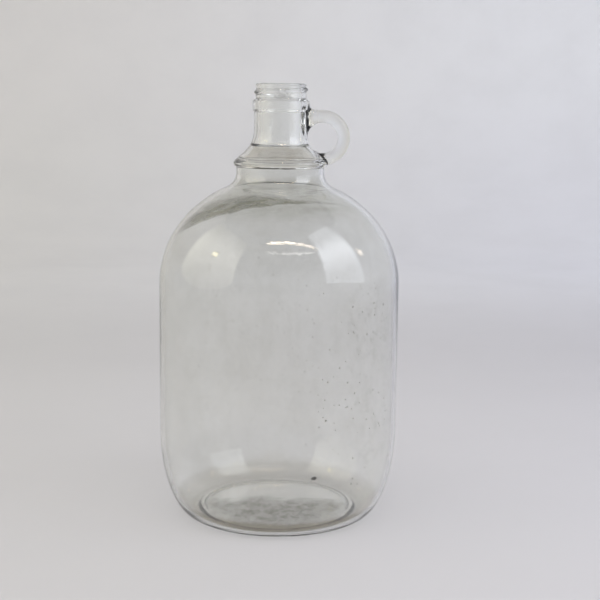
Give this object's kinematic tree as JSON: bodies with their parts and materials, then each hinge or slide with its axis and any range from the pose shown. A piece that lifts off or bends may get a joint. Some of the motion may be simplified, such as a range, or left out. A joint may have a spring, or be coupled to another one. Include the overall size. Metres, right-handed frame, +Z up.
{
  "type": "glass carboy",
  "caption": "Clear glass jug for brewing, with a domed shoulder, a flanged collar, a short screw-thread neck and a moulded finger ring.",
  "frame": {"origin": "on the jug's axis, in the plane of the bearing ring that it stands on", "axes": "+Z up along the jug's axis to the mouth, +X towards the finger ring, +Y completes a right-handed frame"},
  "size_m": [0.168, 0.168, 0.3016],
  "materials": {
    "glass": "clear flint glass with a faint grey-green cast, glossy outside, thin dried film inside"
  },
  "bodies": {
    "root": {"base": "glass", "body_wall": "glass", "shoulder": "glass", "collar": "glass", "neck": "glass", "transfer_bead": "glass", "finish": "glass", "ring_handle": "glass"}
  },
  "joints": []
}
